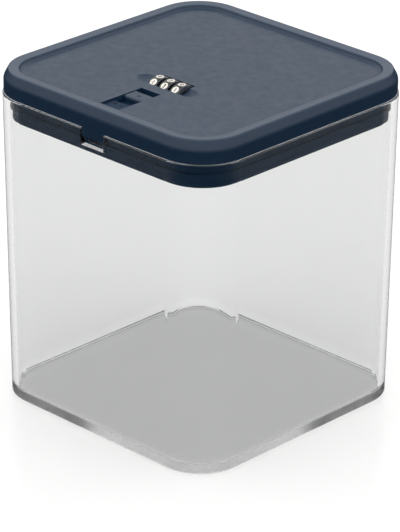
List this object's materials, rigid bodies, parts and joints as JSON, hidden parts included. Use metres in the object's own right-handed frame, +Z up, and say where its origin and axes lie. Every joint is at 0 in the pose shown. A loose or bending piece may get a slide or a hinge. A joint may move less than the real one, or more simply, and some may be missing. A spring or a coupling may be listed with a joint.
{
  "type": "lockable medicine box",
  "caption": "Clear square canister with a navy lift-off lid, locked by a bolt that a thumb slider moves once its number dials line up.",
  "frame": {"origin": "centre of the container's underside", "axes": "+Z up, -Y towards the front with the latch window, dials in a row along X"},
  "size_m": [0.1, 0.1, 0.1145],
  "materials": {
    "clear_plastic": "clear polished plastic",
    "navy_plastic": "satin moulded plastic",
    "seal_rubber": "soft matt rubber",
    "dial_metal": "bright satin metal",
    "frame_plastic": "plain moulded plastic",
    "brass": "turned brass",
    "steel": "plain steel"
  },
  "bodies": {
    "jar": {"container": "clear_plastic"},
    "lid": {"lid_cover": "navy_plastic", "lid_base": "navy_plastic", "seal_ring": "seal_rubber", "lock_frame": "frame_plastic", "left_bush": "brass", "right_bush": "brass", "detent_spring": "steel", "bolt_guide": "frame_plastic", "bolt_detent": "steel", "frame_screws": "steel", "guide_screws": "steel", "lid_screws": "steel"},
    "first_dial": {"dial_1": "dial_metal", "code_sleeve_1": "brass"},
    "second_dial": {"dial_2": "dial_metal", "code_sleeve_2": "brass"},
    "third_dial": {"dial_3": "dial_metal", "code_sleeve_3": "brass"},
    "bolt": {"thumb_slider": "navy_plastic", "latch_bolt": "steel", "slider_screw": "steel"},
    "code_spindle": {"spindle": "steel", "drive_pin": "steel"}
  },
  "joints": [
    {"name": "lid_lift", "type": "slide", "parent": "jar", "child": "lid", "axis": [0, 0, 1], "range_m": [0, 0.08]},
    {"name": "first_dial_turn", "type": "hinge", "parent": "lid", "child": "first_dial", "pos_m": [-0.00347, -0.01505, 0.10915], "axis": [1, 0, 0], "continuous": true},
    {"name": "second_dial_turn", "type": "hinge", "parent": "lid", "child": "second_dial", "pos_m": [0.0014, -0.01505, 0.10915], "axis": [1, 0, 0], "continuous": true},
    {"name": "third_dial_turn", "type": "hinge", "parent": "lid", "child": "third_dial", "pos_m": [0.00627, -0.01505, 0.10915], "axis": [1, 0, 0], "continuous": true},
    {"name": "bolt_slide", "type": "slide", "parent": "lid", "child": "bolt", "axis": [0, -1, 0], "range_m": [0, 0.0026]},
    {"name": "spindle_shift", "type": "slide", "parent": "lid", "child": "code_spindle", "axis": [1, 0, 0], "range_m": [0, 0.00321]}
  ],
  "couplings": [
    {"joint": "spindle_shift", "follows": "bolt_slide", "ratio": 1.2308}
  ]
}
